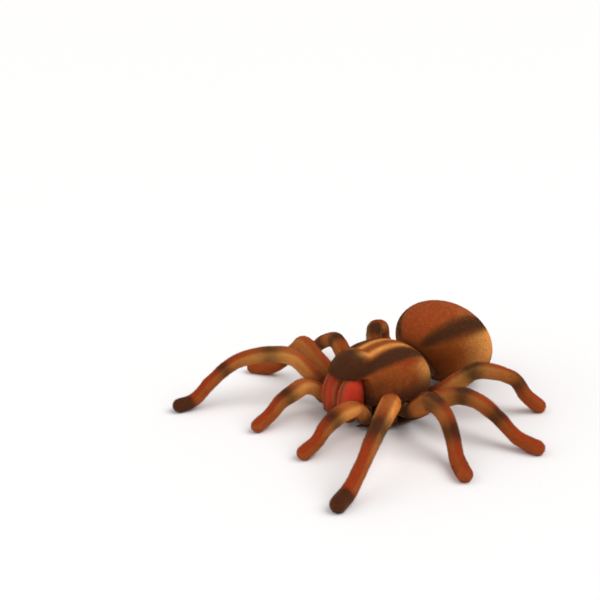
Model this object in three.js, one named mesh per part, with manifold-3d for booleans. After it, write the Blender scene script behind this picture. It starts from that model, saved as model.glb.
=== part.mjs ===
// Radio-controlled toy tarantula with a flocked skin, standing on its feet, belly glides and drive wheels.
// Millimetres, +Z up. The head looks along -Y and the toy's left side is +X. The origin is on the floor,
// in the middle of the front glide under the carapace.

import * as THREE from 'three';
import { mergeVertices } from 'three/addons/utils/BufferGeometryUtils.js';
import Module from 'manifold-3d';

const wasm = await Module();
wasm.setup();

// Room left between pieces that touch, and between a leg and the shells that it swings in
const GAP = 0.35;
const SWING_GAP = 0.6;

// How far each leg swings to either side of rest about its upright hip pin, in degrees
const SWING = 7;

// Carapace: a tilted dome with a blunt raised head, on a flat rim just above the tub
const DOME = { centre: [0, 4.5, 17], radii: [28.4, 33.4, 24], tilt: 8, narrowing: 0.1 };
const HEAD = { centre: [0, -14, 27], radii: [13.5, 15, 15.5], tilt: 0, narrowing: 0 };
const RIM_Z = 13.8;
const FACE_Y = -15;
const BROW_Z = 29.5;

// Tub: the lower shell, with its underside just off the floor
const TUB = { centreY: 4.5, halfWidth: 28.2, halfLength: 33, bottomZ: 1.8, topZ: RIM_Z - GAP, corner: 2.4 };
const CHIN = { halfWidth: 13.4, backY: -11.8 };
const GLIDES_Y = [0, 30];
const GLIDE = { foot: 2.4, root: 3.8 };

// Abdomen: an egg that rises from the waist and slopes down to the back, with a flat under its hatch
const ABDOMEN = { centre: [0, 62.6, 28.5], radii: [29, 33.3, 24.1], tilt: -33, narrowing: 0 };
const ABDOMEN_FLAT_Z = 4.2;
const WAIST = { startY: 27, endY: 48, radius: 12.5, z: 21 };

// Battery hatch in the abdomen's flat, held by one screw
const HATCH = { y: 71, width: 17, length: 18, depth: 1.8, lip: 0.3, screwY: 6.2, screwRadius: 2 };

// Power switch in the tub's underside
const SWITCH = { y: 22.5, slotWidth: 4.6, slotLength: 9, depth: 1.6, knobLength: 4, proud: 0.6 };

// Drive wheels, one each side of the middle
const WHEEL = { x: 7, y: 12, radius: 6, width: 4.6, rim: 1.6, dish: 0.5, groove: 0.5 };
const WELL_ROOM = 0.7;

// Chelicerae: two upright lobes side by side under the brow
const CHELICERA = { centre: [6.55, -21.2, 16.6], radii: [6.2, 9, 14.4], tilt: -6, narrowing: 0 };

// Limbs of the left side, from the hip to the end of the foot, with the sole's centre at SOLE_Z.
// Girth is the limb's radius at shares of its length.
const HIP_Z = 8.5;
const SOLE_Z = 3.8;
const LEG_GIRTH = [[0, 4.6], [0.12, 4.7], [0.3, 5.3], [0.45, 5], [0.62, 4.4], [0.8, 3.9], [0.93, 4.2], [1, 4.2]];
const POCKET_GIRTH = [[0, 4.6], [1, 5.2]];
const PALP_GIRTH = [[0, 4.2], [0.2, 4.4], [0.4, 5.1], [0.6, 4.7], [0.8, 3.9], [0.93, 4.1], [1, 3.9]];
const LEGS = {
  leg_1: [[19, -9, HIP_Z], [30.5, -17.5, 16.5], [41, -24, 27], [51, -37, 29.5], [60, -53.5, 26],
    [65.5, -67.5, 15.5], [68, -78.5, 6], [70.5, -87, SOLE_Z]],
  leg_2: [[21, 4, HIP_Z], [32, 1, 11.5], [43.5, -3, 19.5], [53.5, -5.7, 27.3], [62.5, -4.5, 21.6],
    [70.7, -7, 12.7], [78.7, -12, 5.2], [89.7, -18.7, SOLE_Z]],
  leg_3: [[19.5, 14, HIP_Z], [30.5, 14.5, 12.5], [42, 17, 18.5], [53, 21.3, 22.3], [64, 25, 19.8],
    [74.5, 27, 14.2], [85, 29.3, 6.8], [95.5, 33, SOLE_Z]],
  leg_4: [[14.5, 24, HIP_Z], [25.3, 30.5, 12], [34.5, 36.7, 20.3], [42.3, 43.5, 28], [49, 53, 26.6],
    [55, 63.3, 21.2], [59.3, 69, 11.5], [63.8, 76.5, SOLE_Z]],
};
const PALP = [[17.5, -20, HIP_Z], [18, -25.5, 15], [20, -33, 18.5], [19.5, -42.5, 17], [20, -51.5, 13.5],
  [20.5, -58.5, 7.5], [20.5, -67, SOLE_Z]];

// Hip seats in the tub: a round seat on the hip pin's line and a fan-shaped way out for the limb's swing
const SEAT = { floorZ: 3.2, radius: 5.3, wayZ: 3.6, wayLength: 24 };

// Facets
const LIMB_SIDES = 10;
const LEG_STEPS = 13;
const PALP_STEPS = 11;
const CAP_STEPS = 3;
const POCKET_STEPS = 4;
const POCKET_REACH = 3;
const ROUND_SEGMENTS = 24;

const FLOCK = { roughness: 0.95, metalness: 0 };
const COLOURS = {
  rust: 0x96491f, redBrown: 0x8c3d22, darkBrown: 0x4a2e20, black: 0x1d1b1a, rubber: 0x151515,
};

// Shared vertices are merged and triangles that have shrunk to a line are dropped
function weld(geometry) {
  const bare = geometry.clone();
  bare.deleteAttribute('normal');
  bare.deleteAttribute('uv');
  const merged = mergeVertices(bare, 1e-4);
  const old = merged.index.array;
  const faces = [];
  for (let i = 0; i < old.length; i += 3) {
    const [a, b, c] = [old[i], old[i + 1], old[i + 2]];
    if (a !== b && b !== c && c !== a) faces.push(a, b, c);
  }
  merged.setIndex(faces);
  return merged;
}

function toSolid(geometry) {
  const welded = weld(geometry);
  const vertProperties = new Float32Array(welded.attributes.position.array);
  const triVerts = new Uint32Array(welded.index.array);
  return new wasm.Manifold(new wasm.Mesh({ numProp: 3, vertProperties, triVerts }));
}

function toGeometry(solid) {
  const { vertProperties, triVerts } = solid.getMesh();
  const geometry = new THREE.BufferGeometry();
  geometry.setAttribute('position', new THREE.BufferAttribute(new Float32Array(vertProperties), 3));
  geometry.setIndex(new THREE.BufferAttribute(new Uint32Array(triVerts), 1));
  geometry.computeVertexNormals();
  return geometry;
}

// Box between two corners
function block(low, high) {
  const size = high.map((value, axis) => value - low[axis]);
  const geometry = new THREE.BoxGeometry(...size);
  geometry.translate(...low.map((value, axis) => value + size[axis] / 2));
  return toSolid(geometry);
}

// Upright round shape from a profile of [radius, height] points that starts and ends on the axis
function turned(profile, segments = ROUND_SEGMENTS) {
  const geometry = new THREE.LatheGeometry(profile.map(([r, z]) => new THREE.Vector2(r, z)), segments);
  geometry.rotateX(Math.PI / 2);
  return geometry;
}

// Egg with its own half-sizes, narrower towards the head by the given share, tilted about X and grown by room
function egg({ centre, radii, tilt, narrowing }, around, upright, room = 0) {
  const geometry = new THREE.SphereGeometry(1, around, upright);
  geometry.rotateX(Math.PI / 2);
  const spots = geometry.attributes.position;
  for (let i = 0; i < spots.count; i += 1) {
    const taper = 1 + narrowing * spots.getY(i);
    spots.setX(i, spots.getX(i) * taper * (radii[0] + room));
    spots.setY(i, spots.getY(i) * (radii[1] + room));
    spots.setZ(i, spots.getZ(i) * (radii[2] + room));
  }
  geometry.rotateX(THREE.MathUtils.degToRad(tilt));
  geometry.translate(...centre);
  return geometry;
}

// Radius at a share of the length, from a list of [share, radius]
function girthAt(girth, share) {
  const slot = Math.max(girth.findIndex(([at]) => at >= share), 1);
  const [[from, before], [to, after]] = girth.slice(slot - 1, slot + 1);
  return THREE.MathUtils.mapLinear(share, from, to, before, after);
}

// Round limb along a smooth route, closed by a rounded cap at each end
function limb(route, girth, steps, room = 0) {
  const curve = new THREE.CatmullRomCurve3(route.map((p) => new THREE.Vector3(...p)), false, 'centripetal');
  const length = curve.getLength();
  const frames = curve.computeFrenetFrames(steps);
  const radiusAt = (share) => girthAt(girth, share) + room;
  const profile = [];
  for (let i = CAP_STEPS; i > 0; i -= 1) {
    const turn = (i / CAP_STEPS) * (Math.PI / 2);
    profile.push([radiusAt(0) * Math.cos(turn), -radiusAt(0) * Math.sin(turn)]);
  }
  for (let i = 0; i <= steps; i += 1) profile.push([radiusAt(i / steps), (length * i) / steps]);
  for (let i = 1; i <= CAP_STEPS; i += 1) {
    const turn = (i / CAP_STEPS) * (Math.PI / 2);
    profile.push([radiusAt(1) * Math.cos(turn), length + radiusAt(1) * Math.sin(turn)]);
  }
  profile[0][0] = 0;
  profile[profile.length - 1][0] = 0;
  const geometry = new THREE.LatheGeometry(profile.map(([r, s]) => new THREE.Vector2(r, s)), LIMB_SIDES);
  const spots = geometry.attributes.position;
  const spot = new THREE.Vector3();
  for (let i = 0; i < spots.count; i += 1) {
    const station = spots.getY(i);
    const along = THREE.MathUtils.clamp(station, 0, length);
    const ring = Math.round((along / length) * steps);
    spot.copy(curve.getPointAt(along / length));
    spot.addScaledVector(frames.normals[ring], spots.getX(i));
    spot.addScaledVector(frames.binormals[ring], -spots.getZ(i));
    spot.addScaledVector(frames.tangents[ring], station - along);
    spots.setXYZ(i, spot.x, spot.y, Math.max(spot.z, 0));
  }
  return geometry;
}

const mirrored = (route) => route.map(([x, y, z]) => [-x, y, z]);
const bothSides = (route) => [route, mirrored(route)];

// The room that a leg's root sweeps inside the shells
function legPockets(route) {
  const root = route.slice(0, POCKET_REACH);
  const [x, y] = route[0];
  return [-SWING, 0, SWING].map((angle) => {
    const geometry = limb(root, POCKET_GIRTH, POCKET_STEPS, SWING_GAP);
    geometry.translate(-x, -y, 0);
    geometry.rotateZ(THREE.MathUtils.degToRad(angle));
    geometry.translate(x, y, 0);
    return toSolid(geometry);
  });
}

function palpPocket(route) {
  return toSolid(limb(route.slice(0, POCKET_REACH), POCKET_GIRTH, POCKET_STEPS, GAP));
}

function cheliceraEgg(side, room = 0) {
  const [x, y, z] = CHELICERA.centre;
  return egg({ ...CHELICERA, centre: [side * x, y, z] }, 16, 12, room);
}

const limbPockets = [
  ...Object.values(LEGS).flatMap(bothSides).flatMap(legPockets),
  ...bothSides(PALP).map(palpPocket),
];

// A hip's seat in the tub, open at the top, for a limb that swings by the given angle to either side
function hipSeat(route, swing) {
  const [[x, y], [nextX, nextY]] = route;
  const heading = Math.atan2(nextY - y, nextX - x);
  const turn = THREE.MathUtils.degToRad(swing);
  const { floorZ, radius, wayZ, wayLength } = SEAT;
  const edge = (side) => {
    const angle = heading + side * turn;
    const start = [x - side * radius * Math.sin(angle), y + side * radius * Math.cos(angle)];
    const end = [start[0] + wayLength * Math.cos(angle), start[1] + wayLength * Math.sin(angle)];
    return [start, end];
  };
  const [left, right] = [edge(1), edge(-1)];
  const outline = [right[0], right[1], left[1], left[0], [x, y]].map((p) => new THREE.Vector2(...p));
  const way = new THREE.ExtrudeGeometry(new THREE.Shape(outline), { depth: RIM_Z, bevelEnabled: false });
  way.translate(0, 0, wayZ);
  const seat = turned([[0, floorZ], [radius, floorZ], [radius, RIM_Z + 1], [0, RIM_Z + 1]], 16);
  seat.translate(x, y, 0);
  return toSolid(seat).add(toSolid(way));
}

const hipSeats = [
  ...Object.values(LEGS).flatMap(bothSides).map((route) => hipSeat(route, SWING)),
  ...bothSides(PALP).map((route) => hipSeat(route, 0)),
];

function carapace() {
  const shell = toSolid(egg(DOME, 28, 18)).add(toSolid(egg(HEAD, 18, 12)));
  const below = block([-60, -60, -60], [60, 60, RIM_Z]);
  const face = block([-60, -60, 0], [60, FACE_Y, BROW_Z]);
  const mouthPockets = [1, -1].map((side) => toSolid(cheliceraEgg(side, GAP)));
  const cutters = [below, face, ...limbPockets, ...mouthPockets];
  return toGeometry(cutters.reduce((solid, cutter) => solid.subtract(cutter), shell));
}

// One glide: a short foot under the tub with a flat sole on the floor
function glide(y) {
  const { foot, root } = GLIDE;
  const top = TUB.bottomZ + 1;
  const geometry = turned([[0, 0], [foot, 0], [root, TUB.bottomZ], [root, top], [0, top]], 12);
  geometry.translate(0, y, 0);
  return toSolid(geometry);
}

function wheelWell(side) {
  const { x, y, radius, width } = WHEEL;
  const half = width / 2 + GAP;
  const reach = radius + WELL_ROOM;
  const centre = side * x;
  return block([centre - half, y - reach, -1], [centre + half, y + reach, radius * 2 + WELL_ROOM]);
}

function tub() {
  const { centreY, halfWidth, halfLength, bottomZ, topZ, corner } = TUB;
  const round = [0, 1, 2, 3].map((i) => {
    const turn = (i / 3) * (Math.PI / 2);
    return [halfLength - corner + corner * Math.sin(turn), bottomZ + corner - corner * Math.cos(turn)];
  });
  const shape = turned([[0, bottomZ], ...round, [halfLength, topZ], [0, topZ]], 32);
  shape.scale(halfWidth / halfLength, 1, 1);
  shape.translate(0, centreY, 0);
  const chin = block([-CHIN.halfWidth, -60, -1], [CHIN.halfWidth, CHIN.backY, 60]);
  const slot = block(
    [-SWITCH.slotWidth / 2, SWITCH.y - SWITCH.slotLength / 2, 0],
    [SWITCH.slotWidth / 2, SWITCH.y + SWITCH.slotLength / 2, bottomZ + SWITCH.depth],
  );
  const cutters = [chin, slot, wheelWell(1), wheelWell(-1), ...hipSeats];
  const hollowed = cutters.reduce((solid, cutter) => solid.subtract(cutter), toSolid(shape));
  return toGeometry(GLIDES_Y.reduce((solid, y) => solid.add(glide(y)), hollowed));
}

function powerSwitch() {
  const { y, slotWidth, depth, knobLength, proud } = SWITCH;
  const half = slotWidth / 2 - GAP;
  const low = TUB.bottomZ - proud;
  const knob = block([-half, y - knobLength / 2, low], [half, y + knobLength / 2, TUB.bottomZ + depth - GAP]);
  return toGeometry(knob);
}

function hatchBlock(room, top) {
  const { y, width, length } = HATCH;
  return block([-width / 2 - room, y - length / 2 - room, 0], [width / 2 + room, y + length / 2 + room, top]);
}

function abdomen() {
  const below = block([-60, 0, -60], [60, 120, ABDOMEN_FLAT_Z]);
  const recess = hatchBlock(GAP, ABDOMEN_FLAT_Z + HATCH.depth);
  const front = toSolid(egg(DOME, 32, 20, 1.5));
  const waist = toSolid(waistBarrel(GAP));
  const cutters = [below, recess, front, waist];
  return toGeometry(cutters.reduce((solid, cutter) => solid.subtract(cutter), toSolid(egg(ABDOMEN, 32, 20))));
}

function batteryHatch() {
  const { y, depth, lip, screwY, screwRadius } = HATCH;
  const low = ABDOMEN_FLAT_Z + lip;
  const plate = hatchBlock(0, ABDOMEN_FLAT_Z + depth - GAP).subtract(block([-60, 0, -60], [60, 120, low]));
  const screw = turned([[0, 0], [screwRadius, 0], [screwRadius, low + 0.7], [0, low + 0.7]], 16);
  screw.translate(0, y + screwY, 0);
  return toGeometry(plate.subtract(toSolid(screw)));
}

// Waist: a short barrel along Y that joins the carapace to the abdomen
function waistBarrel(room = 0) {
  const { startY, endY, radius, z } = WAIST;
  const r = radius + room;
  const geometry = turned([[0, startY - room], [r * 0.8, startY - room], [r, startY + 4], [r, endY - 4],
    [r * 0.8, endY + room], [0, endY + room]], 20);
  geometry.rotateX(-Math.PI / 2);
  geometry.translate(0, 0, z);
  return geometry;
}

function waist() {
  const cutters = [toSolid(egg(DOME, 32, 20, GAP)), block([-60, -60, -60], [60, 120, RIM_Z]), ...limbPockets];
  return toGeometry(cutters.reduce((solid, cutter) => solid.subtract(cutter), toSolid(waistBarrel())));
}

function wheel(side) {
  const { x, y, radius, width, rim, dish, groove } = WHEEL;
  const half = width / 2;
  const face = -half + dish;
  const profile = [[0, face], [radius - rim, face], [radius - rim, -half], [radius - 0.6, -half],
    [radius, -half + 0.6], [radius - groove, 0]];
  const other = profile.slice(0, -1).reverse().map(([r, s]) => [r, -s]);
  const geometry = turned([...profile, ...other], 16);
  geometry.rotateY(Math.PI / 2);
  geometry.translate(side * x, y, radius);
  return geometry;
}

const model = new THREE.Group();

function add(name, geometry, colour, finish = FLOCK) {
  const mesh = new THREE.Mesh(weld(geometry), new THREE.MeshStandardMaterial({ color: colour, ...finish }));
  mesh.name = name;
  model.add(mesh);
}

add('carapace', carapace(), COLOURS.rust);
add('tub', tub(), COLOURS.darkBrown, { roughness: 0.6, metalness: 0 });
add('power_switch', powerSwitch(), COLOURS.black, { roughness: 0.5, metalness: 0 });
add('waist', waist(), COLOURS.darkBrown);
add('abdomen', abdomen(), COLOURS.rust);
add('battery_hatch', batteryHatch(), COLOURS.darkBrown, { roughness: 0.6, metalness: 0 });

for (const [side, word] of [[1, 'left'], [-1, 'right']]) {
  const route = (points) => (side > 0 ? points : mirrored(points));
  add(`chelicera_${word}`, cheliceraEgg(side), COLOURS.redBrown);
  add(`palp_${word}`, limb(route(PALP), PALP_GIRTH, PALP_STEPS), COLOURS.rust);
  add(`wheel_${word}`, wheel(side), COLOURS.rubber, { roughness: 0.8, metalness: 0 });
  for (const [name, points] of Object.entries(LEGS)) {
    add(`${name}_${word}`, limb(route(points), LEG_GIRTH, LEG_STEPS), COLOURS.rust);
  }
}

export default model;
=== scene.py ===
"""Looks of a radio-controlled toy tarantula with a flocked skin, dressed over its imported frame.

Lengths are in millimetres up to make_object, which turns them into Blender's metres. +Z is up and the
head looks along -Y.
"""

import bpy
import numpy as np
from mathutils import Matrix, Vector, noise


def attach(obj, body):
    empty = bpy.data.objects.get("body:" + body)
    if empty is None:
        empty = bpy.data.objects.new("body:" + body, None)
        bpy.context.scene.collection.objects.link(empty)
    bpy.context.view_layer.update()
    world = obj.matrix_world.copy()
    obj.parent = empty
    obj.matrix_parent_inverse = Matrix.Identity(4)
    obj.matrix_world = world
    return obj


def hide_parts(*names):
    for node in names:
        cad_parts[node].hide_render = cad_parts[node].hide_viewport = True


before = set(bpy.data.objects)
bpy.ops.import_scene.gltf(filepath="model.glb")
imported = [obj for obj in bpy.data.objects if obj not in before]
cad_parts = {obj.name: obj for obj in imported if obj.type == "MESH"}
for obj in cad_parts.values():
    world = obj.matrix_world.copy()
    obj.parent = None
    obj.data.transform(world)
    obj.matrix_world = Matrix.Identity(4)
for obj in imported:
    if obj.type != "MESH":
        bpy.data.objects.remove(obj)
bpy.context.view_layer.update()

MM = 0.001

# Camera, in metres
CAMERA_AT = (0.35623, -0.34485, 0.23808)
CAMERA_AHEAD = (-0.73223, 0.59954, -0.32309)
CAMERA_LENS = 55.16
CAMERA_SENSOR = 36

# Shells: the same eggs as the solids have
DOME = {"centre": (0, 4.5, 17), "radii": (28.4, 33.4, 24), "tilt": 8, "narrowing": 0.1}
HEAD = {"centre": (0, -14, 27), "radii": (13.5, 15, 15.5), "tilt": 0, "narrowing": 0}
ABDOMEN = {"centre": (0, 62.6, 28.5), "radii": (29, 33.3, 24.1), "tilt": -33, "narrowing": 0}
CHELICERA = {"centre": (6.55, -21.2, 16.6), "radii": (6.2, 9, 14.4), "tilt": -6, "narrowing": 0}
RIM_Z = 13.8
FACE_Y = -15
BROW_Z = 29.5
ABDOMEN_FLAT_Z = 4.2
WAIST = {"start_y": 27, "end_y": 48, "radius": 12.5, "z": 21}
HATCH = {"y": 71, "width": 17, "length": 18, "depth": 1.8, "lip": 0.3, "screw_y": 6.2, "screw_radius": 2}
WHEEL = {"x": 7, "y": 12, "radius": 6, "width": 4.6}
SWITCH = {"y": 22.5, "width": 3.9, "length": 4, "low_z": 1.2, "high_z": 3.05}
TUB = {"centre_y": 4.5, "half_width": 28.2, "half_length": 33, "bottom_z": 1.8}
TUB_SCREWS = [(-19, -3), (19, -3), (-11, 27), (11, 27)]
HATCH_RIBS = [-6, -4.5, -3, -1.5]
KNOB_RIDGES = [-1.3, 0, 1.3]
TREADS = 24

# Reach of the boxes that cut whole sides away
CUT = 60

# Room between pieces, the legs' swing in degrees and the room that it needs
GAP = 0.35
SWING = 7
SWING_GAP = 0.6

# Limbs of the left side, from hip to foot, and their radius at shares of their length
LEG_GIRTH = [(0, 4.6), (0.12, 4.7), (0.3, 5.3), (0.45, 5), (0.62, 4.4), (0.8, 3.9), (0.93, 4.2), (1, 4.2)]
PALP_GIRTH = [(0, 4.2), (0.2, 4.4), (0.4, 5.1), (0.6, 4.7), (0.8, 3.9), (0.93, 4.1), (1, 3.9)]
POCKET_GIRTH = [(0, 4.6), (1, 5.2)]
LIMBS = {
    "leg_1": [(19, -9, 8.5), (30.5, -17.5, 16.5), (41, -24, 27), (51, -37, 29.5), (60, -53.5, 26),
              (65.5, -67.5, 15.5), (68, -78.5, 6), (70.5, -87, 3.8)],
    "leg_2": [(21, 4, 8.5), (32, 1, 11.5), (43.5, -3, 19.5), (53.5, -5.7, 27.3), (62.5, -4.5, 21.6),
              (70.7, -7, 12.7), (78.7, -12, 5.2), (89.7, -18.7, 3.8)],
    "leg_3": [(19.5, 14, 8.5), (30.5, 14.5, 12.5), (42, 17, 18.5), (53, 21.3, 22.3), (64, 25, 19.8),
              (74.5, 27, 14.2), (85, 29.3, 6.8), (95.5, 33, 3.8)],
    "leg_4": [(14.5, 24, 8.5), (25.3, 30.5, 12), (34.5, 36.7, 20.3), (42.3, 43.5, 28), (49, 53, 26.6),
              (55, 63.3, 21.2), (59.3, 69, 11.5), (63.8, 76.5, 3.8)],
    "palp": [(17.5, -20, 8.5), (18, -25.5, 15), (20, -33, 18.5), (19.5, -42.5, 17), (20, -51.5, 13.5),
             (20.5, -58.5, 7.5), (20.5, -67, 3.8)],
}
SIDES = {"left": 1, "right": -1}

# Marks on a limb, by share of its length: where its dark base ends, a painted shade under the shell,
# the centre, half-width and strength of its dark rings, where its dark tip starts, and how light its
# sides are at the knee, partly ochre paint and partly painted sheen
PAINT = {
    "leg_1": {"base": 0.2, "rings": [(0.6, 0.07, 1)], "tip": 0.9, "sides": 1},
    "leg_1_right": {"base": 0.2, "rings": [(0.69, 0.04, 0.8), (0.43, 0.07, 0.75)], "tip": 0.9,
                    "sides": 0.8},
    "leg_2": {"base": 0.3, "rings": [(0.68, 0.07, 1), (0.47, 0.06, 0.9)], "tip": 2, "sides": 0.4},
    "leg_2_right": {"base": 0.2, "rings": [(0.68, 0.07, 0.7)], "tip": 2, "sides": 0.4},
    "leg_3": {"base": 0.26, "rings": [(0.69, 0.06, 1), (0.44, 0.06, 1)], "tip": 2, "sides": 0.35},
    "leg_4": {"base": 0.22, "rings": [(0.76, 0.06, 0.85), (0.43, 0.07, 1)], "tip": 2, "sides": 0.6},
    "palp": {"base": 0.12, "rings": [(0.57, 0.09, 0.85)], "tip": 2, "sides": 0.8},
}

# Flock: how far the skin lies inside the solid's face, and the size and spread in tone of the fibres
SKIN = 0.25
FIBRE_LENGTH = 0.85
FIBRE_WIDTH = 0.11
FIBRE_TONE = 0.16

# Fibres to a square millimetre, and the room around moving pieces that is kept free of them
SHELL_FIBRES = 15
LIMB_FIBRES = 15
SHELL_ROOM = 1.6
LIMB_ROOM = 1.2

# Grid of the skins that are rounded off, and how finely limbs are sampled
VOXEL = 0.5
TUB_VOXEL = 0.48
ABDOMEN_VOXEL = 0.6
LIMB_SAMPLES = 60
ROOT_SAMPLES = 36
COMB_SAMPLES = 200

# Colours as in a picture, 0 to 255. Flock has a base, a light, a red and a dark colour.
FLOCK_BASE = (162, 82, 24)
FLOCK_LIGHT = (255, 186, 98)
FLOCK_RED = (171, 57, 16)
FLOCK_DARK = (38, 26, 16)
FACE_FLOCK = ((190, 84, 48), (228, 140, 92), (232, 70, 44), (100, 54, 40))
WAIST_FLOCK = ((112, 66, 40), (204, 130, 76), (120, 58, 34), (60, 37, 26))
SHEEN_TINT = (255, 190, 120)
PLASTIC_DARK = (40, 30, 26)
PLASTIC_BLACK = (24, 23, 23)
FLOOR = (246, 245, 245)

# Lights: where each sun stands, its strength and its spread in degrees
KEY_SUN = ((0.55, 0.45, 1), 1.75, 50)
FILL_SUN = ((-0.4, -0.9, 0.6), 0.95, 70)
SKY_STRENGTH = 0.5


def linear(colour):
    """A picture colour of 0 to 255 as the light value that a shader takes"""
    share = np.array(colour) / 255
    value = np.where(share <= 0.04045, share / 12.92, ((share + 0.055) / 1.055) ** 2.4)
    return (*value.tolist(), 1)


def ramp(value, low, high):
    """Smooth step from 0 at low to 1 at high"""
    share = np.clip((value - low) / (high - low), 0, 1)
    return share * share * (3 - 2 * share)


def hump(value, centre, half_width):
    return np.exp(-(((value - centre) / half_width) ** 2))


def unit(vectors):
    return vectors / np.maximum(np.linalg.norm(vectors, axis=-1, keepdims=True), 1e-9)


# Forms are pairs of points and triangles

def grid_faces(rows, columns, offset):
    """Triangles of a tube of point rings, closed by fans to the point before and the point after"""
    ring = np.arange(columns)
    after = (ring + 1) % columns
    faces = [np.stack([np.full(columns, offset - 1), offset + after, offset + ring], 1)]
    for row in range(rows - 1):
        a, b = offset + row * columns + ring, offset + row * columns + after
        faces.append(np.stack([a, b, b + columns], 1))
        faces.append(np.stack([a, b + columns, a + columns], 1))
    last = offset + (rows - 1) * columns
    faces.append(np.stack([last + ring, last + after, np.full(columns, last + columns)], 1))
    return np.concatenate(faces)


def egg(shape, room=0.0, around=96, upright=64):
    """Egg with its own half-sizes, narrower towards the head, tilted about X"""
    polar = np.pi * np.arange(1, upright) / upright
    turn = 2 * np.pi * np.arange(around) / around
    z = -np.cos(polar)[:, None] * np.ones(around)
    x = np.sin(polar)[:, None] * np.cos(turn)
    y = np.sin(polar)[:, None] * np.sin(turn)
    ball = np.stack([x, y, z], -1).reshape(-1, 3)
    ball = np.concatenate([[(0, 0, -1)], ball, [(0, 0, 1)]])
    radii = np.array(shape["radii"]) + room
    ball[:, 0] *= 1 + shape["narrowing"] * ball[:, 1]
    points = ball * radii
    tilt = np.radians(shape["tilt"])
    y, z = points[:, 1].copy(), points[:, 2].copy()
    points[:, 1] = y * np.cos(tilt) - z * np.sin(tilt)
    points[:, 2] = y * np.sin(tilt) + z * np.cos(tilt)
    return points + np.array(shape["centre"]), grid_faces(upright - 1, around, 1)


def box_form(low, high):
    (x0, y0, z0), (x1, y1, z1) = low, high
    corners = np.array([[x, y, z] for z in (z0, z1) for y in (y0, y1) for x in (x0, x1)])
    quads = [(0, 2, 3, 1), (4, 5, 7, 6), (0, 1, 5, 4), (2, 6, 7, 3), (0, 4, 6, 2), (1, 3, 7, 5)]
    faces = [tri for a, b, c, d in quads for tri in ((a, b, c), (a, c, d))]
    return corners.astype(float), np.array(faces)


def turned(profile, centre, axis, segments=64):
    """Round form from a profile of (radius, height) that starts and ends on the axis"""
    turn = 2 * np.pi * np.arange(segments) / segments
    inner = np.array(profile[1:-1], float)
    rings = np.stack([inner[:, :1] * np.cos(turn), inner[:, :1] * np.sin(turn),
                      inner[:, 1:] * np.ones(segments)], -1).reshape(-1, 3)
    points = np.concatenate([[(0, 0, profile[0][1])], rings, [(0, 0, profile[-1][1])]])
    order = {"z": [0, 1, 2], "y": [1, 2, 0], "x": [2, 0, 1]}[axis]
    return points[:, order] + np.array(centre), grid_faces(len(inner), segments, 1)


def joined(forms):
    points, faces, start = [], [], 0
    for some_points, some_faces in forms:
        points.append(some_points)
        faces.append(some_faces + start)
        start += len(some_points)
    return np.concatenate(points), np.concatenate(faces)


def spline(route, count):
    """Evenly spaced points along a centripetal Catmull-Rom curve through the route, and its length"""
    route = np.array(route, float)
    guide = np.concatenate([[2 * route[0] - route[1]], route, [2 * route[-1] - route[-2]]])
    pieces = []
    t = np.linspace(0, 1, 60)[:, None]
    for i in range(1, len(guide) - 2):
        a, b, c, d = guide[i - 1:i + 3]
        before, here, after = [np.sqrt(np.linalg.norm(v)) for v in (b - a, c - b, d - c)]
        start = ((b - a) / before - (c - a) / (before + here) + (c - b) / here) * here
        end = ((c - b) / here - (d - b) / (here + after) + (d - c) / after) * here
        pieces.append((2 * t**3 - 3 * t**2 + 1) * b + (t**3 - 2 * t**2 + t) * start
                      + (-2 * t**3 + 3 * t**2) * c + (t**3 - t**2) * end)
    line = np.concatenate(pieces)
    station = np.concatenate([[0], np.cumsum(np.linalg.norm(np.diff(line, axis=0), axis=1))])
    wanted = np.linspace(0, station[-1], count)
    return np.stack([np.interp(wanted, station, line[:, k]) for k in range(3)], 1), station[-1]


def upper_side(tangents):
    """At each point of a limb the direction of its upper side, carried along without twist"""
    up = [unit(np.array([0, 0, 1]) - tangents[0] * tangents[0][2])]
    for tangent in tangents[1:]:
        up.append(unit(up[-1] - tangent * up[-1].dot(tangent)))
    return np.array(up)


def girth_at(girth, shares):
    """Radius at shares of the length, with the corners of the list rounded off"""
    fine = np.linspace(0, 1, 401)
    radius = np.interp(fine, *np.array(girth).T)
    padded = np.pad(radius, 24, mode="edge")
    return np.interp(shares, fine, np.convolve(padded, np.ones(49) / 49, mode="valid"))


def limb(route, girth, room=0.0, rings=110, around=36, cap=8):
    """Round limb with a round cap at each end. Gives the form, and at each point its share of the
    length and how far it faces the limb's upper side, from -1 to 1."""
    centre, _ = spline(route, rings + 1)
    tangents = unit(np.gradient(centre, axis=0))
    up = upper_side(tangents)
    across = np.cross(tangents, up)
    shares = np.linspace(0, 1, rings + 1)
    radius = girth_at(girth, shares) + room
    turn = 2 * np.pi * np.arange(around) / around
    bulge = np.pi / 2 * np.arange(1, cap) / cap
    rows = [(0, np.cos(b), -np.sin(b)) for b in bulge[::-1]]
    rows += [(i, 1, 0) for i in range(rings + 1)]
    rows += [(rings, np.cos(b), np.sin(b)) for b in bulge]
    points, share, facing = [], [], []
    for i, wide, ahead in rows:
        ring = np.outer(np.cos(turn), up[i]) + np.outer(np.sin(turn), across[i])
        points.append(centre[i] + radius[i] * (wide * ring + ahead * tangents[i]))
        share.append(np.full(around, shares[i]))
        facing.append(np.cos(turn) * wide)
    first = centre[0] - radius[0] * tangents[0]
    last = centre[-1] + radius[-1] * tangents[-1]
    points = np.concatenate([[first], *points, [last]])
    share = np.concatenate([[0], *share, [1]])
    facing = np.concatenate([[0], *facing, [0]])
    return (points, grid_faces(len(rows), around, 1)), share, facing


def on_side(route, side):
    return [(x * side, y, z) for x, y, z in route]


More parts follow.
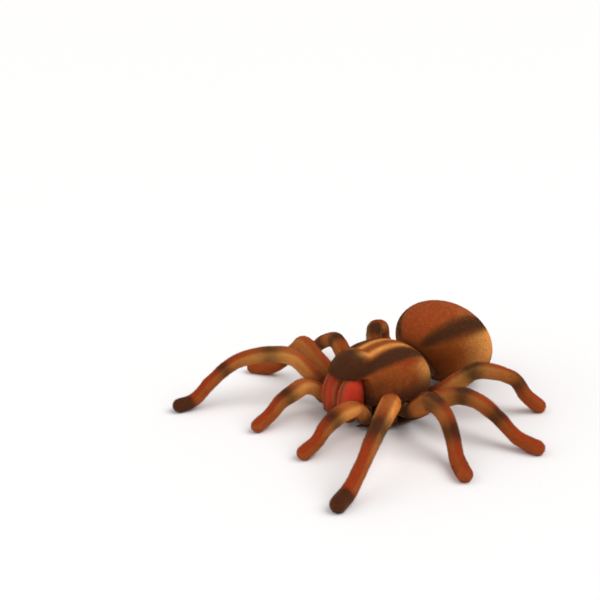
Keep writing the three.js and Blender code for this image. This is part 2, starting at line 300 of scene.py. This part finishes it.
def leg_pockets():
    """The room that the limbs' roots sweep inside the shells"""
    forms = []
    for name, left in LIMBS.items():
        for side in SIDES.values():
            root = on_side(left, side)[:3]
            turns = (0,) if name == "palp" else (-SWING, 0, SWING)
            room = GAP if name == "palp" else SWING_GAP
            points, faces = limb(root, POCKET_GIRTH, room, rings=24, around=24, cap=5)[0]
            hip = np.array([root[0][0], root[0][1], 0])
            for turn in turns:
                c, s = np.cos(np.radians(turn)), np.sin(np.radians(turn))
                spin = np.array([[c, -s, 0], [s, c, 0], [0, 0, 1]])
                forms.append(((points - hip) @ spin.T + hip, faces))
    return forms


def chelicera(side, room=0.0):
    x, y, z = CHELICERA["centre"]
    return egg({**CHELICERA, "centre": (side * x, y, z)}, room, 64, 48)


# Blender objects

def make_object(name, form):
    points, faces = form
    mesh = bpy.data.meshes.new(name)
    mesh.vertices.add(len(points))
    mesh.vertices.foreach_set("co", (points * MM).astype(np.float32).ravel())
    mesh.loops.add(faces.size)
    mesh.loops.foreach_set("vertex_index", faces.astype(np.int32).ravel())
    mesh.polygons.add(len(faces))
    mesh.polygons.foreach_set("loop_start", np.arange(0, faces.size, 3, dtype=np.int32))
    mesh.update(calc_edges=True)
    mesh.validate()
    obj = bpy.data.objects.new(name, mesh)
    bpy.context.scene.collection.objects.link(obj)
    return obj


def apply_modifiers(obj):
    shaped = bpy.data.meshes.new_from_object(obj.evaluated_get(bpy.context.evaluated_depsgraph_get()))
    obj.modifiers.clear()
    obj.data = shaped


def form_of(obj):
    """Points, triangles and point normals of an object, in millimetres"""
    mesh = obj.data
    mesh.calc_loop_triangles()
    points = np.zeros(len(mesh.vertices) * 3, np.float32)
    mesh.vertices.foreach_get("co", points)
    faces = np.zeros(len(mesh.loop_triangles) * 3, np.int32)
    mesh.loop_triangles.foreach_get("vertices", faces)
    normals = np.zeros(len(mesh.vertices) * 3, np.float32)
    mesh.vertex_normals.foreach_get("vector", normals)
    return points.reshape(-1, 3) / MM, faces.reshape(-1, 3), normals.reshape(-1, 3)


def boolean(obj, form, operation):
    tool = make_object("tool", form)
    modifier = obj.modifiers.new("cut", "BOOLEAN")
    modifier.operation = operation
    modifier.solver = "EXACT"
    modifier.use_self = True
    modifier.object = tool
    apply_modifiers(obj)
    bpy.data.objects.remove(tool)


def soften(obj, voxel, rounds):
    """One even skin over the whole form, with its edges rounded off"""
    skin = obj.modifiers.new("skin", "REMESH")
    skin.mode = "VOXEL"
    skin.voxel_size = voxel * MM
    smooth = obj.modifiers.new("smooth", "SMOOTH")
    smooth.factor = 0.5
    smooth.iterations = rounds
    apply_modifiers(obj)


def set_marks(obj, marks):
    for name, values in marks.items():
        attribute = obj.data.attributes.new(name, "FLOAT", "POINT")
        attribute.data.foreach_set("value", np.clip(values, 0, 1).astype(np.float32))


def dress(obj, material, body, nodes=()):
    obj.data.materials.clear()
    obj.data.materials.append(material)
    obj.data.shade_smooth()
    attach(obj, body)
    if nodes:
        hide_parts(*nodes)
    return obj


def fuzz(name, form, marks, comb, per_area, keep, seed):
    """Short fibres rooted in the skin, each one thin triangle that leans along the comb's direction,
    with the marks of the spot where it roots"""
    rng = np.random.default_rng(seed)
    points, faces, normals = form
    corners = points[faces]
    first, second = corners[:, 1] - corners[:, 0], corners[:, 2] - corners[:, 0]
    area = np.linalg.norm(np.cross(first, second), axis=1) / 2
    chance = area * keep[faces].mean(axis=1)
    count = int(chance.sum() * per_area)
    picked = rng.choice(len(faces), count, p=chance / chance.sum())
    a, b = rng.random(count), rng.random(count)
    flip = a + b > 1
    a[flip], b[flip] = 1 - a[flip], 1 - b[flip]
    weights = np.stack([1 - a - b, a, b], 1)

    def at_root(values):
        return np.einsum("nk,nk...->n...", weights, values[faces[picked]])

    root = at_root(points)
    normal = unit(at_root(normals))
    lean = unit(at_root(comb) + rng.normal(0, 0.45, (count, 3)))
    rise = unit(normal + lean * rng.uniform(0.35, 1.1, (count, 1)))
    across = unit(np.cross(normal, rise))
    length = FIBRE_LENGTH * rng.uniform(0.55, 1.2, (count, 1))
    half = FIBRE_WIDTH / 2 * rng.uniform(0.7, 1.2, (count, 1))
    start = root - 0.05 * normal
    fibres = np.stack([start - across * half, start + across * half, root + rise * length], 1)
    fibres = fibres.reshape(-1, 3)
    fibres[:, 2] = np.maximum(fibres[:, 2], 0.05)
    obj = make_object(name, (fibres, np.arange(3 * count).reshape(-1, 3)))
    tones = {key: at_root(values) for key, values in marks.items()}
    tones["dark"] = tones["dark"] + rng.normal(0, FIBRE_TONE, count)
    set_marks(obj, {key: np.repeat(values, 3) for key, values in tones.items()})
    return obj


# Materials

def new_material(name):
    material = bpy.data.materials.new(name)
    material.use_nodes = True
    nodes = material.node_tree.nodes
    nodes.clear()
    shader = nodes.new("ShaderNodeBsdfPrincipled")
    output = nodes.new("ShaderNodeOutputMaterial")
    material.node_tree.links.new(shader.outputs["BSDF"], output.inputs["Surface"])
    return material, shader


def noise_node(material, per_mm, detail, roughness=0.6):
    """Noise in the object's own coordinates, with so many lumps to a millimetre"""
    tree = material.node_tree
    place = tree.nodes.new("ShaderNodeTexCoord")
    texture = tree.nodes.new("ShaderNodeTexNoise")
    texture.inputs["Scale"].default_value = per_mm / MM
    texture.inputs["Detail"].default_value = detail
    texture.inputs["Roughness"].default_value = roughness
    tree.links.new(place.outputs["Object"], texture.inputs["Vector"])
    return texture.outputs["Fac"]


def math_node(material, operation, first, second, third=None):
    """Clamped arithmetic on two or three values or sockets"""
    tree = material.node_tree
    node = tree.nodes.new("ShaderNodeMath")
    node.operation = operation
    node.use_clamp = True
    for socket, value in zip(node.inputs, (first, second, third)):
        if isinstance(value, bpy.types.NodeSocket):
            tree.links.new(value, socket)
        elif value is not None:
            socket.default_value = value
    return node.outputs[0]


def mix_node(material, share, first, second):
    """First colour turning into the second by the share"""
    tree = material.node_tree
    node = tree.nodes.new("ShaderNodeMix")
    node.data_type = "RGBA"
    inputs = {s.identifier: s for s in node.inputs}
    outputs = {s.identifier: s for s in node.outputs}
    wanted = {"Factor_Float": share, "A_Color": first, "B_Color": second}
    for key, value in wanted.items():
        if isinstance(value, bpy.types.NodeSocket):
            tree.links.new(value, inputs[key])
        else:
            inputs[key].default_value = value
    return outputs["Result_Color"]


def bump(material, shader, height, distance, strength):
    tree = material.node_tree
    node = tree.nodes.new("ShaderNodeBump")
    node.inputs["Distance"].default_value = distance * MM
    node.inputs["Strength"].default_value = strength
    tree.links.new(height, node.inputs["Height"])
    tree.links.new(node.outputs["Normal"], shader.inputs["Normal"])


def between(material, share, low, high):
    """Value from low to high, by a share of 0 to 1"""
    tree = material.node_tree
    node = tree.nodes.new("ShaderNodeMapRange")
    node.inputs["To Min"].default_value = low
    node.inputs["To Max"].default_value = high
    tree.links.new(share, node.inputs["Value"])
    return node.outputs["Result"]


def mark_node(material, name, noise_socket, sway):
    """A mark, with its edge broken up by noise. Some marks are sprayed colour, others painted shade and
    painted highlights.
    """
    tree = material.node_tree
    node = tree.nodes.new("ShaderNodeAttribute")
    node.attribute_name = name
    swayed = math_node(material, "MULTIPLY_ADD", noise_socket, sway, node.outputs["Fac"])
    return math_node(material, "SUBTRACT", swayed, sway / 2)


def flock(name, base, light, red, dark, sheen=0.6):
    """Velvet skin: a base colour with light, red and dark marks, mottled by noise. The marks are sprayed
    colour in part and painted shade and painted highlights in part.
    """
    material, shader = new_material(name)
    cloudy = noise_node(material, 0.11, 3)
    mottled = noise_node(material, 0.6, 4)
    grain = noise_node(material, 3.2, 2)
    colour = mix_node(material, mark_node(material, "light", cloudy, 0.3), linear(base), linear(light))
    colour = mix_node(material, mark_node(material, "red", cloudy, 0.3), colour, linear(red))
    colour = mix_node(material, mark_node(material, "dark", cloudy, 0.35), colour, linear(dark))
    deep = tuple(c * 0.55 for c in dark)
    blotch = math_node(material, "MULTIPLY_ADD", mottled, 0.9, -0.35)
    colour = mix_node(material, math_node(material, "MULTIPLY", blotch, 0.5), colour, linear(deep))
    fleck = material.node_tree.nodes.new("ShaderNodeHueSaturation")
    material.node_tree.links.new(colour, fleck.inputs["Color"])
    material.node_tree.links.new(between(material, grain, 0.7, 1.3), fleck.inputs["Value"])
    material.node_tree.links.new(fleck.outputs["Color"], shader.inputs["Base Color"])
    rough = math_node(material, "MULTIPLY_ADD", grain, 0.2, 0.78)
    material.node_tree.links.new(rough, shader.inputs["Roughness"])
    shader.inputs["Specular IOR Level"].default_value = 0.2
    shader.inputs["Sheen Weight"].default_value = sheen
    shader.inputs["Sheen Roughness"].default_value = 0.35
    shader.inputs["Sheen Tint"].default_value = linear(SHEEN_TINT)
    bump(material, shader, grain, 0.12, 0.6)
    return material


def moulded(name, colour, worn, roughness, grain_size=1.5):
    """Moulded plastic or rubber with a fine spark-eroded grain and dusty wear"""
    material, shader = new_material(name)
    clouds = noise_node(material, 0.08, 4)
    grain = noise_node(material, grain_size, 3)
    dust = math_node(material, "MULTIPLY_ADD", clouds, 1.6, -0.55)
    tone = mix_node(material, math_node(material, "MULTIPLY", dust, 0.4), linear(colour), linear(worn))
    tone = mix_node(material, math_node(material, "MULTIPLY", grain, 0.12), tone, linear(worn))
    material.node_tree.links.new(tone, shader.inputs["Base Color"])
    rough = math_node(material, "MULTIPLY_ADD", grain, 0.25, roughness - 0.12)
    material.node_tree.links.new(rough, shader.inputs["Roughness"])
    bump(material, shader, grain, 0.06, 0.5)
    return material


SKIN_RUST = flock("flock_rust", FLOCK_BASE, FLOCK_LIGHT, FLOCK_RED, FLOCK_DARK)
SKIN_RED = flock("flock_red_brown", *FACE_FLOCK)
SKIN_DARK = flock("flock_dark_brown", *WAIST_FLOCK, sheen=0.3)
TUB_PLASTIC = moulded("tub_plastic", PLASTIC_DARK, (92, 80, 70), 0.55)
SWITCH_PLASTIC = moulded("switch_plastic", PLASTIC_BLACK, (70, 68, 66), 0.4)
RUBBER = moulded("wheel_rubber", (22, 22, 22), (96, 92, 86), 0.8, 0.8)
SCREW_STEEL = moulded("screw_steel", (150, 148, 142), (96, 88, 78), 0.35)
SCREW_STEEL.node_tree.nodes["Principled BSDF"].inputs["Metallic"].default_value = 1


# Marks of the shells, by formula on the place of each point: sprayed colour, painted shade and
# painted highlights

def angle_about(points, height):
    """How far up a point is around a level line along Y, in degrees: 0 at the sides and 90 on top"""
    return np.degrees(np.arctan2(points[:, 2] - height, np.abs(points[:, 0])))


def fore_marks(points):
    """Dark band down each side and over the head, two light lines on top that are a painted highlight,
    light rear flanks that are partly ochre and partly painted light, painted shade on the low sides and
    cheeks
    """
    x, y, z = points.T
    angle = angle_about(points, 17)
    band = ramp(angle, 41, 53) * ramp(np.abs(x), 6.6, 11) * (1 - ramp(y, 24, 36))
    head = ramp(-y, 7, 19) * ramp(angle, 42, 60)
    # Painted highlight: two light lines along the crest, as if lit from above
    crest_highlight = hump(np.abs(x), 5, 2.1) * ramp(z, 26, 32) * ramp(y, -21, -11) * (1 - ramp(y, 20, 30))
    # Painted shade: the low sides and the cheeks darker, away from the light
    low = 1 - ramp(angle, -2, 34)
    cheek_shade = ramp(-y, -8, 18) * (1 - ramp(angle, 20, 48)) * 0.6
    # Light rear flanks: partly the flock's ochre, partly painted light
    rear = ramp(y, 8, 28) * hump(angle, 24, 20)
    accent = hump(angle, 42, 6) * hump(y, 14, 10) * 0.8
    dark = np.maximum.reduce([band, head, low * 0.85, cheek_shade])
    return {"dark": dark, "light": np.maximum(crest_highlight, rear * 0.9), "red": np.maximum(accent, 0.15)}


def abdomen_marks(points):
    """Dark band down each side, painted shade on the front and the belly, red top with a painted
    highlight growing towards the rear, and light rear flanks, partly ochre and partly painted light,
    which all fade out towards the rear end, where they would meet"""
    x, y, z = points.T
    angle = angle_about(points, ABDOMEN["centre"][2])
    apart = ramp(np.hypot(x, z - ABDOMEN["centre"][2]), 4, 17)
    band = apart * ramp(angle, 20, 38) * (1 - ramp(angle, 43, 62))
    # Painted shade on the front, where it faces the front body
    front = ramp(-y, -50, -36) * (1 - ramp(z, 32, 42))
    # Painted shade on the belly
    low = apart * (1 - ramp(angle, -50, -5))
    top = apart * ramp(angle, 50, 62)
    flank = (1 - ramp(angle, 20, 34)) * ramp(angle, -40, 0)
    # Light rear flanks: partly the flock's ochre, partly painted light
    rear = ramp(y, 42, 80) * (0.6 + apart * (flank - 0.6))
    return {
        "dark": np.maximum.reduce([band * 0.84, front * 0.38, low * 0.45]),
        # Light on the top, rising towards the rear: a painted highlight
        "light": np.maximum(rear * 0.9, top * (0.15 + 0.5 * ramp(y, 50, 72))),
        "red": top * 0.65,
    }


def chelicera_marks(points):
    """Red outer patch and inner stripe with a painted shadow between them, a painted highlight
    along the inner edge, dark lower end
    """
    x, _, z = points.T
    across = (np.abs(x) - CHELICERA["centre"][0]) / CHELICERA["radii"][0]
    height = (z - CHELICERA["centre"][2]) / CHELICERA["radii"][2]
    patch = ramp(across, 0.2, 0.5) * ramp(height, -0.4, 0)
    stripe = hump(across, -0.45, 0.18) * ramp(height, -0.5, 0) * 0.55
    # Painted shadow in the furrow beside the lit inner edge
    furrow_shadow = hump(across, 0, 0.16) * 0.6
    low = (1 - ramp(height, -0.8, -0.2)) * 0.55
    # Painted highlight along the lobe's inner edge
    ridge_highlight = hump(across, -0.72, 0.1) * ramp(height, -0.6, 0) * 0.8
    return {"dark": np.maximum(low, furrow_shadow), "light": ridge_highlight, "red": np.maximum(patch * 0.85, stripe)}


def limb_marks(name, share, facing):
    """Red upper side; light flanks around the knee, partly ochre paint and partly painted sheen; a dark
    base of painted shade under the shell; dark rings and tip
    """
    paint = PAINT[name]
    upper = ramp(facing, 0.5, 0.95)
    # Dark base: painted shade where the limb runs in under the shell
    dark = 0.9 * (1 - ramp(share, paint["base"] - 0.13, paint["base"]))
    for centre, half, strength in paint["rings"]:
        dark = np.maximum(dark, strength * hump(share, centre, half) * (0.75 + 0.25 * upper))
    dark = np.maximum(dark, 0.9 * ramp(share, paint["tip"], paint["tip"] + 0.05))
    knee = hump(share, 0.38, 0.22)
    # Light flanks: partly ochre paint, partly painted sheen
    side = (1 - upper * (1 - 0.5 * knee)) * paint["sides"] * (0.2 + 0.8 * knee)
    foot = ramp(share, 0.7, 0.85)
    red = 0.25 * (1 - side) + upper * 0.65 * (1 - 0.4 * knee) + 0.3 * foot
    return {"dark": dark, "light": side, "red": red}


# Pieces

def lumpy(points, normals, per_mm, height):
    """Points moved along their normals by soft noise"""
    swell = np.array([noise.noise(Vector(p) * per_mm) for p in points])
    return points + normals * (height * swell)[:, None]


def limb_lines():
    """Sample points and radii along every limb, by name"""
    lines = {}
    for name, left in LIMBS.items():
        girth = PALP_GIRTH if name == "palp" else LEG_GIRTH
        for word, side in SIDES.items():
            centre, _ = spline(on_side(left, side), LIMB_SAMPLES)
            lines[f"{name}_{word}"] = (centre, girth_at(girth, np.linspace(0, 1, LIMB_SAMPLES)))
    return lines


LINES = limb_lines()


def clear_of_limbs(points, room, skip=None):
    """1 where a point is at least so far from the root part of every limb, else 0"""
    clear = np.ones(len(points))
    for name, (centre, radius) in LINES.items():
        if name == skip:
            continue
        for spot, reach in zip(centre[:ROOT_SAMPLES], radius[:ROOT_SAMPLES]):
            clear[np.linalg.norm(points - spot, axis=1) < reach + room] = 0
    return clear


def clear_of_shells(points, room):
    """1 where a point is outside the front body by that room, else 0"""
    x, y, z = points.T
    clear = np.ones(len(points))
    for shape in (DOME, HEAD):
        tilt = np.radians(-shape["tilt"])
        away = points - np.array(shape["centre"])
        v = (away[:, 1] * np.cos(tilt) - away[:, 2] * np.sin(tilt)) / (shape["radii"][1] + room)
        w = (away[:, 1] * np.sin(tilt) + away[:, 2] * np.cos(tilt)) / (shape["radii"][2] + room)
        u = away[:, 0] / (shape["radii"][0] + room)
        clear[(u**2 + v**2 + w**2 < 1) & (z > RIM_Z - room)] = 0
    across = x / (TUB["half_width"] + room)
    along = (y - TUB["centre_y"]) / (TUB["half_length"] + room)
    clear[(across**2 + along**2 < 1) & (z < RIM_Z + room)] = 0
    return clear


def fore_shell(pockets):
    """The front body's upper shell with its head, open at the face and over the hips, and its pile"""
    obj = make_object("fore_shell", joined([egg(DOME, -SKIN), egg(HEAD, -SKIN, 64, 48)]))
    soften(obj, VOXEL, 40)
    below = box_form((-CUT, -CUT, -CUT), (CUT, CUT, RIM_Z))
    face = box_form((-CUT, -CUT, 0), (CUT, FACE_Y, BROW_Z))
    mouth = [chelicera(side, GAP) for side in SIDES.values()]
    boolean(obj, joined([below, face]), "DIFFERENCE")
    boolean(obj, joined(pockets + mouth), "DIFFERENCE")
    soften(obj, VOXEL, 5)
    form = form_of(obj)
    marks = fore_marks(form[0])
    set_marks(obj, marks)
    dress(obj, SKIN_RUST, "root", ["carapace"])
    outside = ramp(form[0][:, 2], RIM_Z + 0.2, RIM_Z + 0.8)
    outside *= clear_of_limbs(form[0], SHELL_ROOM)
    comb = np.tile([0, 0.8, -0.4], (len(form[0]), 1))
    pile = fuzz("fore_shell_pile", form, marks, comb, SHELL_FIBRES, outside, 11)
    dress(pile, SKIN_RUST, "root")


def hatch_box(room, top):
    """Room for the battery hatch in the abdomen's flat underside"""
    half_x, half_y = HATCH["width"] / 2 + room, HATCH["length"] / 2 + room
    return box_form((-half_x, HATCH["y"] - half_y, 0), (half_x, HATCH["y"] + half_y, top))


def waist_form(room=0.0):
    """Barrel between the front body and the abdomen"""
    start, end, radius = WAIST["start_y"], WAIST["end_y"], WAIST["radius"] + room
    profile = [(0, start - room), (radius * 0.8, start - room), (radius, start + 4), (radius, end - 4),
               (radius * 0.8, end + room), (0, end + room)]
    return turned(profile, (0, 0, WAIST["z"]), "y")


def rear_shell():
    """The abdomen with its flat underside and the hatch's room, and its pile"""
    obj = make_object("rear_shell", egg(ABDOMEN, -SKIN, 128, 96))
    below = box_form((-CUT, 0, -CUT), (CUT, 2 * CUT, ABDOMEN_FLAT_Z))
    boolean(obj, joined([below, hatch_box(GAP, ABDOMEN_FLAT_Z + HATCH["depth"])]), "DIFFERENCE")
    boolean(obj, joined([egg(DOME, 1.5), waist_form(GAP)]), "DIFFERENCE")
    soften(obj, ABDOMEN_VOXEL, 4)
    form = form_of(obj)
    marks = abdomen_marks(form[0])
    set_marks(obj, marks)
    dress(obj, SKIN_RUST, "root", ["abdomen"])
    outside = ramp(form[0][:, 2], ABDOMEN_FLAT_Z + 0.3, ABDOMEN_FLAT_Z + 1)
    outside *= clear_of_limbs(form[0], LIMB_ROOM)
    comb = np.tile([0, 0.9, -0.2], (len(form[0]), 1))
    pile = fuzz("rear_shell_pile", form, marks, comb, SHELL_FIBRES, outside, 12)
    dress(pile, SKIN_RUST, "root")


def waist_skin(pockets):
    """The waist, cut clear of the front body and of the rear legs' roots"""
    obj = make_object("waist_skin", waist_form(-0.1))
    soften(obj, VOXEL, 6)
    below = box_form((-CUT, -CUT, -CUT), (CUT, 2 * CUT, RIM_Z))
    boolean(obj, joined([egg(DOME, GAP), below]), "DIFFERENCE")
    boolean(obj, joined(pockets), "DIFFERENCE")
    form = form_of(obj)
    none = np.zeros(len(form[0]))
    marks = {"dark": none + 0.4, "light": none, "red": none}
    set_marks(obj, marks)
    dress(obj, SKIN_DARK, "root", ["waist"])


def face_lobes():
    """The two upright lobes of the face, each with its pile"""
    for word, side in SIDES.items():
        obj = make_object(f"face_lobe_{word}", chelicera(side, -SKIN))
        form = form_of(obj)
        marks = chelicera_marks(form[0])
        set_marks(obj, marks)
        dress(obj, SKIN_RED, "root", [f"chelicera_{word}"])
        keep = ramp(-form[0][:, 1], 16, 18)
        comb = np.tile([side * 0.3, -0.2, -0.9], (len(form[0]), 1))
        pile = fuzz(f"face_lobe_{word}_pile", form, marks, comb, LIMB_FIBRES, keep, 20 + side)
        dress(pile, SKIN_RED, "root")


def limbs():
    """Legs and palps, each with an uneven skin beyond its hip and its pile"""
    for index, (name, left) in enumerate(LIMBS.items()):
        girth = PALP_GIRTH if name == "palp" else LEG_GIRTH
        for word, side in SIDES.items():
            node = f"{name}_{word}"
            body = "root" if name == "palp" else node
            (points, faces), share, facing = limb(on_side(left, side), girth, -SKIN)
            obj = make_object(f"{node}_skin", (points, faces))
            points, faces, normals = form_of(obj)
            loose = ramp(share, 0.25, 0.4)
            points = lumpy(points, normals * loose[:, None], 0.14, 0.35)
            points[:, 2] = np.maximum(points[:, 2], 0.15)
            obj.data.vertices.foreach_set("co", (points * MM).astype(np.float32).ravel())
            obj.data.update()
            form = form_of(obj)
            marks = limb_marks(node if node in PAINT else name, share, facing)
            set_marks(obj, marks)
            dress(obj, SKIN_RUST, body, [node])
            keep = clear_of_shells(points, SHELL_ROOM) * clear_of_limbs(points, LIMB_ROOM, skip=node)
            centre, _ = spline(on_side(left, side), COMB_SAMPLES)
            heading = unit(np.gradient(centre, axis=0))
            comb = heading[np.round(share * (COMB_SAMPLES - 1)).astype(int)]
            pile = fuzz(f"{node}_pile", form, marks, comb, LIMB_FIBRES, keep, 30 + 2 * index + side)
            dress(pile, SKIN_RUST, body)


def add_screw(name, x, y, head_z):
    """Cross-head screw seen from below, with its head's face at head_z"""
    back = head_z + 0.7
    profile = [(0, head_z), (1.2, head_z), (1.5, head_z + 0.25), (1.5, back), (0, back)]
    obj = make_object(name, turned(profile, (x, y, 0), "z", 32))
    low, high = head_z - 0.5, head_z + 0.35
    cross = [box_form((x - 0.85, y - 0.18, low), (x + 0.85, y + 0.18, high)),
             box_form((x - 0.18, y - 0.85, low), (x + 0.18, y + 0.85, high))]
    boolean(obj, joined(cross), "DIFFERENCE")
    dress(obj, SCREW_STEEL, "root")
    obj.data.shade_flat()


def wall_share(points, normals):
    """1 on the tub's outer wall and under the face, else 0, and where its hidden inside is flocked"""
    x, y, z = points.T
    out = (x / TUB["half_width"]) ** 2 + ((y - TUB["centre_y"]) / TUB["half_length"]) ** 2
    wall = ramp(out, 0.9, 0.93) * ramp(z, TUB["bottom_z"] + 0.3, TUB["bottom_z"] + 0.6)
    chin = ramp(-normals[:, 1], 0.5, 0.8) * ramp(-y, 10.5, 11.4) * (z > 3.2) * (np.abs(x) < 13.5)
    return np.maximum(wall, chin), (out > 0.55) & (z > 2.9)


def second_material(obj, material, share):
    """Gives the faces whose corners all have a share above a half another material"""
    obj.data.materials.append(material)
    loops = np.zeros(len(obj.data.loops), np.int32)
    obj.data.loops.foreach_get("vertex_index", loops)
    starts = np.zeros(len(obj.data.polygons), np.int32)
    obj.data.polygons.foreach_get("loop_start", starts)
    chosen = np.minimum.reduceat(share[loops], starts) > 0.5
    obj.data.polygons.foreach_set("material_index", chosen.astype(np.int32))


def under_shell():
    """The tub with its edges rounded off, screw holes in its floor and flock on its wall"""
    obj = make_object("under_shell", form_of(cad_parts["tub"])[:2])
    soften(obj, TUB_VOXEL, 2)
    deep = TUB["bottom_z"] + 0.9
    profile = [(0, 0), (1.9, 0), (1.9, deep), (0, deep)]
    holes = [turned(profile, (x, y, 0), "z", 32) for x, y in TUB_SCREWS]
    boolean(obj, joined(holes), "DIFFERENCE")
    points, faces, normals = form_of(obj)
    wall, inner = wall_share(points, normals)
    none = np.zeros(len(points))
    marks = {"dark": 0.5 * ramp(9 - points[:, 2], 0, 5), "light": none, "red": none + 0.4}
    set_marks(obj, marks)
    dress(obj, TUB_PLASTIC, "root", ["tub"])
    second_material(obj, SKIN_DARK, np.maximum(wall, inner))
    keep = wall * clear_of_limbs(points, SHELL_ROOM)
    comb = np.tile([0, 0.2, -0.8], (len(points), 1))
    pile = fuzz("under_shell_pile", (points, faces, normals), marks, comb, SHELL_FIBRES, keep, 13)
    dress(pile, SKIN_DARK, "root")
    for index, (x, y) in enumerate(TUB_SCREWS):
        add_screw(f"tub_screw_{index + 1}", x, y, TUB["bottom_z"] + 0.15)


def round_edges(obj, width, segments=3):
    """Sharp edges rounded off by a width in millimetres"""
    bevel = obj.modifiers.new("edge", "BEVEL")
    bevel.width = width * MM
    bevel.segments = segments
    bevel.limit_method = "ANGLE"
    apply_modifiers(obj)


def hatch_cover():
    """The battery hatch with grip ribs and its screw"""
    low, high = ABDOMEN_FLAT_Z + HATCH["lip"], ABDOMEN_FLAT_Z + HATCH["depth"] - GAP
    half_x, half_y, y = HATCH["width"] / 2, HATCH["length"] / 2, HATCH["y"]
    obj = make_object("hatch_cover", box_form((-half_x, y - half_y, low), (half_x, y + half_y, high)))
    round_edges(obj, 0.35)
    hole_y, hole, deep = y + HATCH["screw_y"], HATCH["screw_radius"], low + 0.7
    profile = [(0, 0), (hole, 0), (hole, deep), (0, deep)]
    boolean(obj, turned(profile, (0, hole_y, 0), "z", 48), "DIFFERENCE")
    dress(obj, TUB_PLASTIC, "root", ["battery_hatch"])
    obj.data.shade_flat()
    bars = [box_form((-5, y + at - 0.35, low - 0.22), (5, y + at + 0.35, low + 0.2))
            for at in HATCH_RIBS]
    ribs = make_object("hatch_ribs", joined(bars))
    round_edges(ribs, 0.15, 2)
    dress(ribs, TUB_PLASTIC, "root")
    add_screw("hatch_screw", 0, hole_y, low - 0.05)


def switch_knob():
    """The power switch's sliding knob, with three grip ridges"""
    half_x, half_y = SWITCH["width"] / 2, SWITCH["length"] / 2
    y, low, high = SWITCH["y"], SWITCH["low_z"], SWITCH["high_z"]
    knob = box_form((-half_x, y - half_y, low + 0.25), (half_x, y + half_y, high))
    obj = make_object("switch_knob", knob)
    bars = [box_form((-half_x, y + at - 0.3, low), (half_x, y + at + 0.3, low + 0.6))
            for at in KNOB_RIDGES]
    boolean(obj, joined(bars), "UNION")
    round_edges(obj, 0.12, 2)
    dress(obj, SWITCH_PLASTIC, "root", ["power_switch"])
    obj.data.shade_flat()


def tread_notches(centre, radius, half):
    """Thin bars across a tyre's tread, all round it"""
    notches = []
    for turn in np.arange(TREADS) * 2 * np.pi / TREADS:
        points, faces = box_form((-half - 1, -0.22, radius - 0.35), (half + 1, 0.22, radius + 1))
        y, z = points[:, 1].copy(), points[:, 2].copy()
        points[:, 1] = y * np.cos(turn) - z * np.sin(turn)
        points[:, 2] = y * np.sin(turn) + z * np.cos(turn)
        notches.append((points + np.array(centre), faces))
    return joined(notches)


def both_ways(half_profile):
    """Whole profile of a wheel from the half on its low side"""
    return half_profile + [(radius, -height) for radius, height in half_profile[::-1]]


def wheels():
    """Ribbed rubber tyres on dished plastic hubs"""
    radius, half = WHEEL["radius"] - 0.03, WHEEL["width"] / 2
    inner = radius - 1.7
    tyre_profile = both_ways([(0, -half + 0.9), (inner, -half + 0.9), (inner, -half + 0.1),
                              (inner + 0.5, -half), (radius - 0.5, -half),
                              (radius - 0.1, -half + 0.5), (radius, -half + 1)])
    hub_profile = both_ways([(0, -half + 0.35), (1, -half + 0.35), (1.3, -half + 0.6),
                             (2.6, -half + 0.75), (inner - 0.5, -half + 0.45),
                             (inner - 0.05, -half + 0.45)])
    for word, side in SIDES.items():
        body, centre = f"wheel_{word}", (side * WHEEL["x"], WHEEL["y"], WHEEL["radius"])
        tyre = make_object(f"tyre_{word}", turned(tyre_profile, centre, "x", 96))
        boolean(tyre, tread_notches(centre, radius, half), "DIFFERENCE")
        dress(tyre, RUBBER, body, [body])
        tyre.data.shade_flat()
        disc = make_object(f"hub_{word}", turned(hub_profile, centre, "x", 64))
        dress(disc, SWITCH_PLASTIC, body)


def build():
    pockets = leg_pockets()
    fore_shell(pockets)
    rear_shell()
    waist_skin(pockets)
    face_lobes()
    limbs()
    under_shell()
    hatch_cover()
    switch_knob()
    wheels()


# Stage

def add_camera():
    data = bpy.data.cameras.new("camera")
    data.lens = CAMERA_LENS
    data.sensor_width = CAMERA_SENSOR
    data.clip_start = 0.01
    data.clip_end = 200
    camera = bpy.data.objects.new("camera", data)
    bpy.context.scene.collection.objects.link(camera)
    camera.location = CAMERA_AT
    camera.rotation_euler = Vector(CAMERA_AHEAD).to_track_quat("-Z", "Y").to_euler()
    bpy.context.scene.camera = camera


def add_sun(name, toward, strength, spread):
    """Soft even light from one side of the sky, with its spread in degrees"""
    data = bpy.data.lights.new(name, "SUN")
    data.energy = strength
    data.angle = np.radians(spread)
    light = bpy.data.objects.new(name, data)
    bpy.context.scene.collection.objects.link(light)
    light.rotation_euler = (-Vector(toward)).to_track_quat("-Z", "Y").to_euler()


def add_floor():
    half = 60000
    corners = np.array([(-half, -half, 0), (half, -half, 0), (half, half, 0), (-half, half, 0)], float)
    floor = make_object("floor", (corners, np.array([(0, 1, 2), (0, 2, 3)])))
    material, shader = new_material("floor")
    shader.inputs["Base Color"].default_value = linear(FLOOR)
    shader.inputs["Roughness"].default_value = 0.9
    shader.inputs["Specular IOR Level"].default_value = 0.1
    floor.data.materials.append(material)


def add_world():
    world = bpy.data.worlds.new("studio")
    world.use_nodes = True
    background = world.node_tree.nodes["Background"]
    background.inputs["Color"].default_value = (1, 0.99, 0.98, 1)
    background.inputs["Strength"].default_value = SKY_STRENGTH
    bpy.context.scene.world = world


add_camera()
add_floor()
add_world()
add_sun("key", *KEY_SUN)
add_sun("fill", *FILL_SUN)
bpy.context.scene.view_settings.view_transform = "Standard"
build()
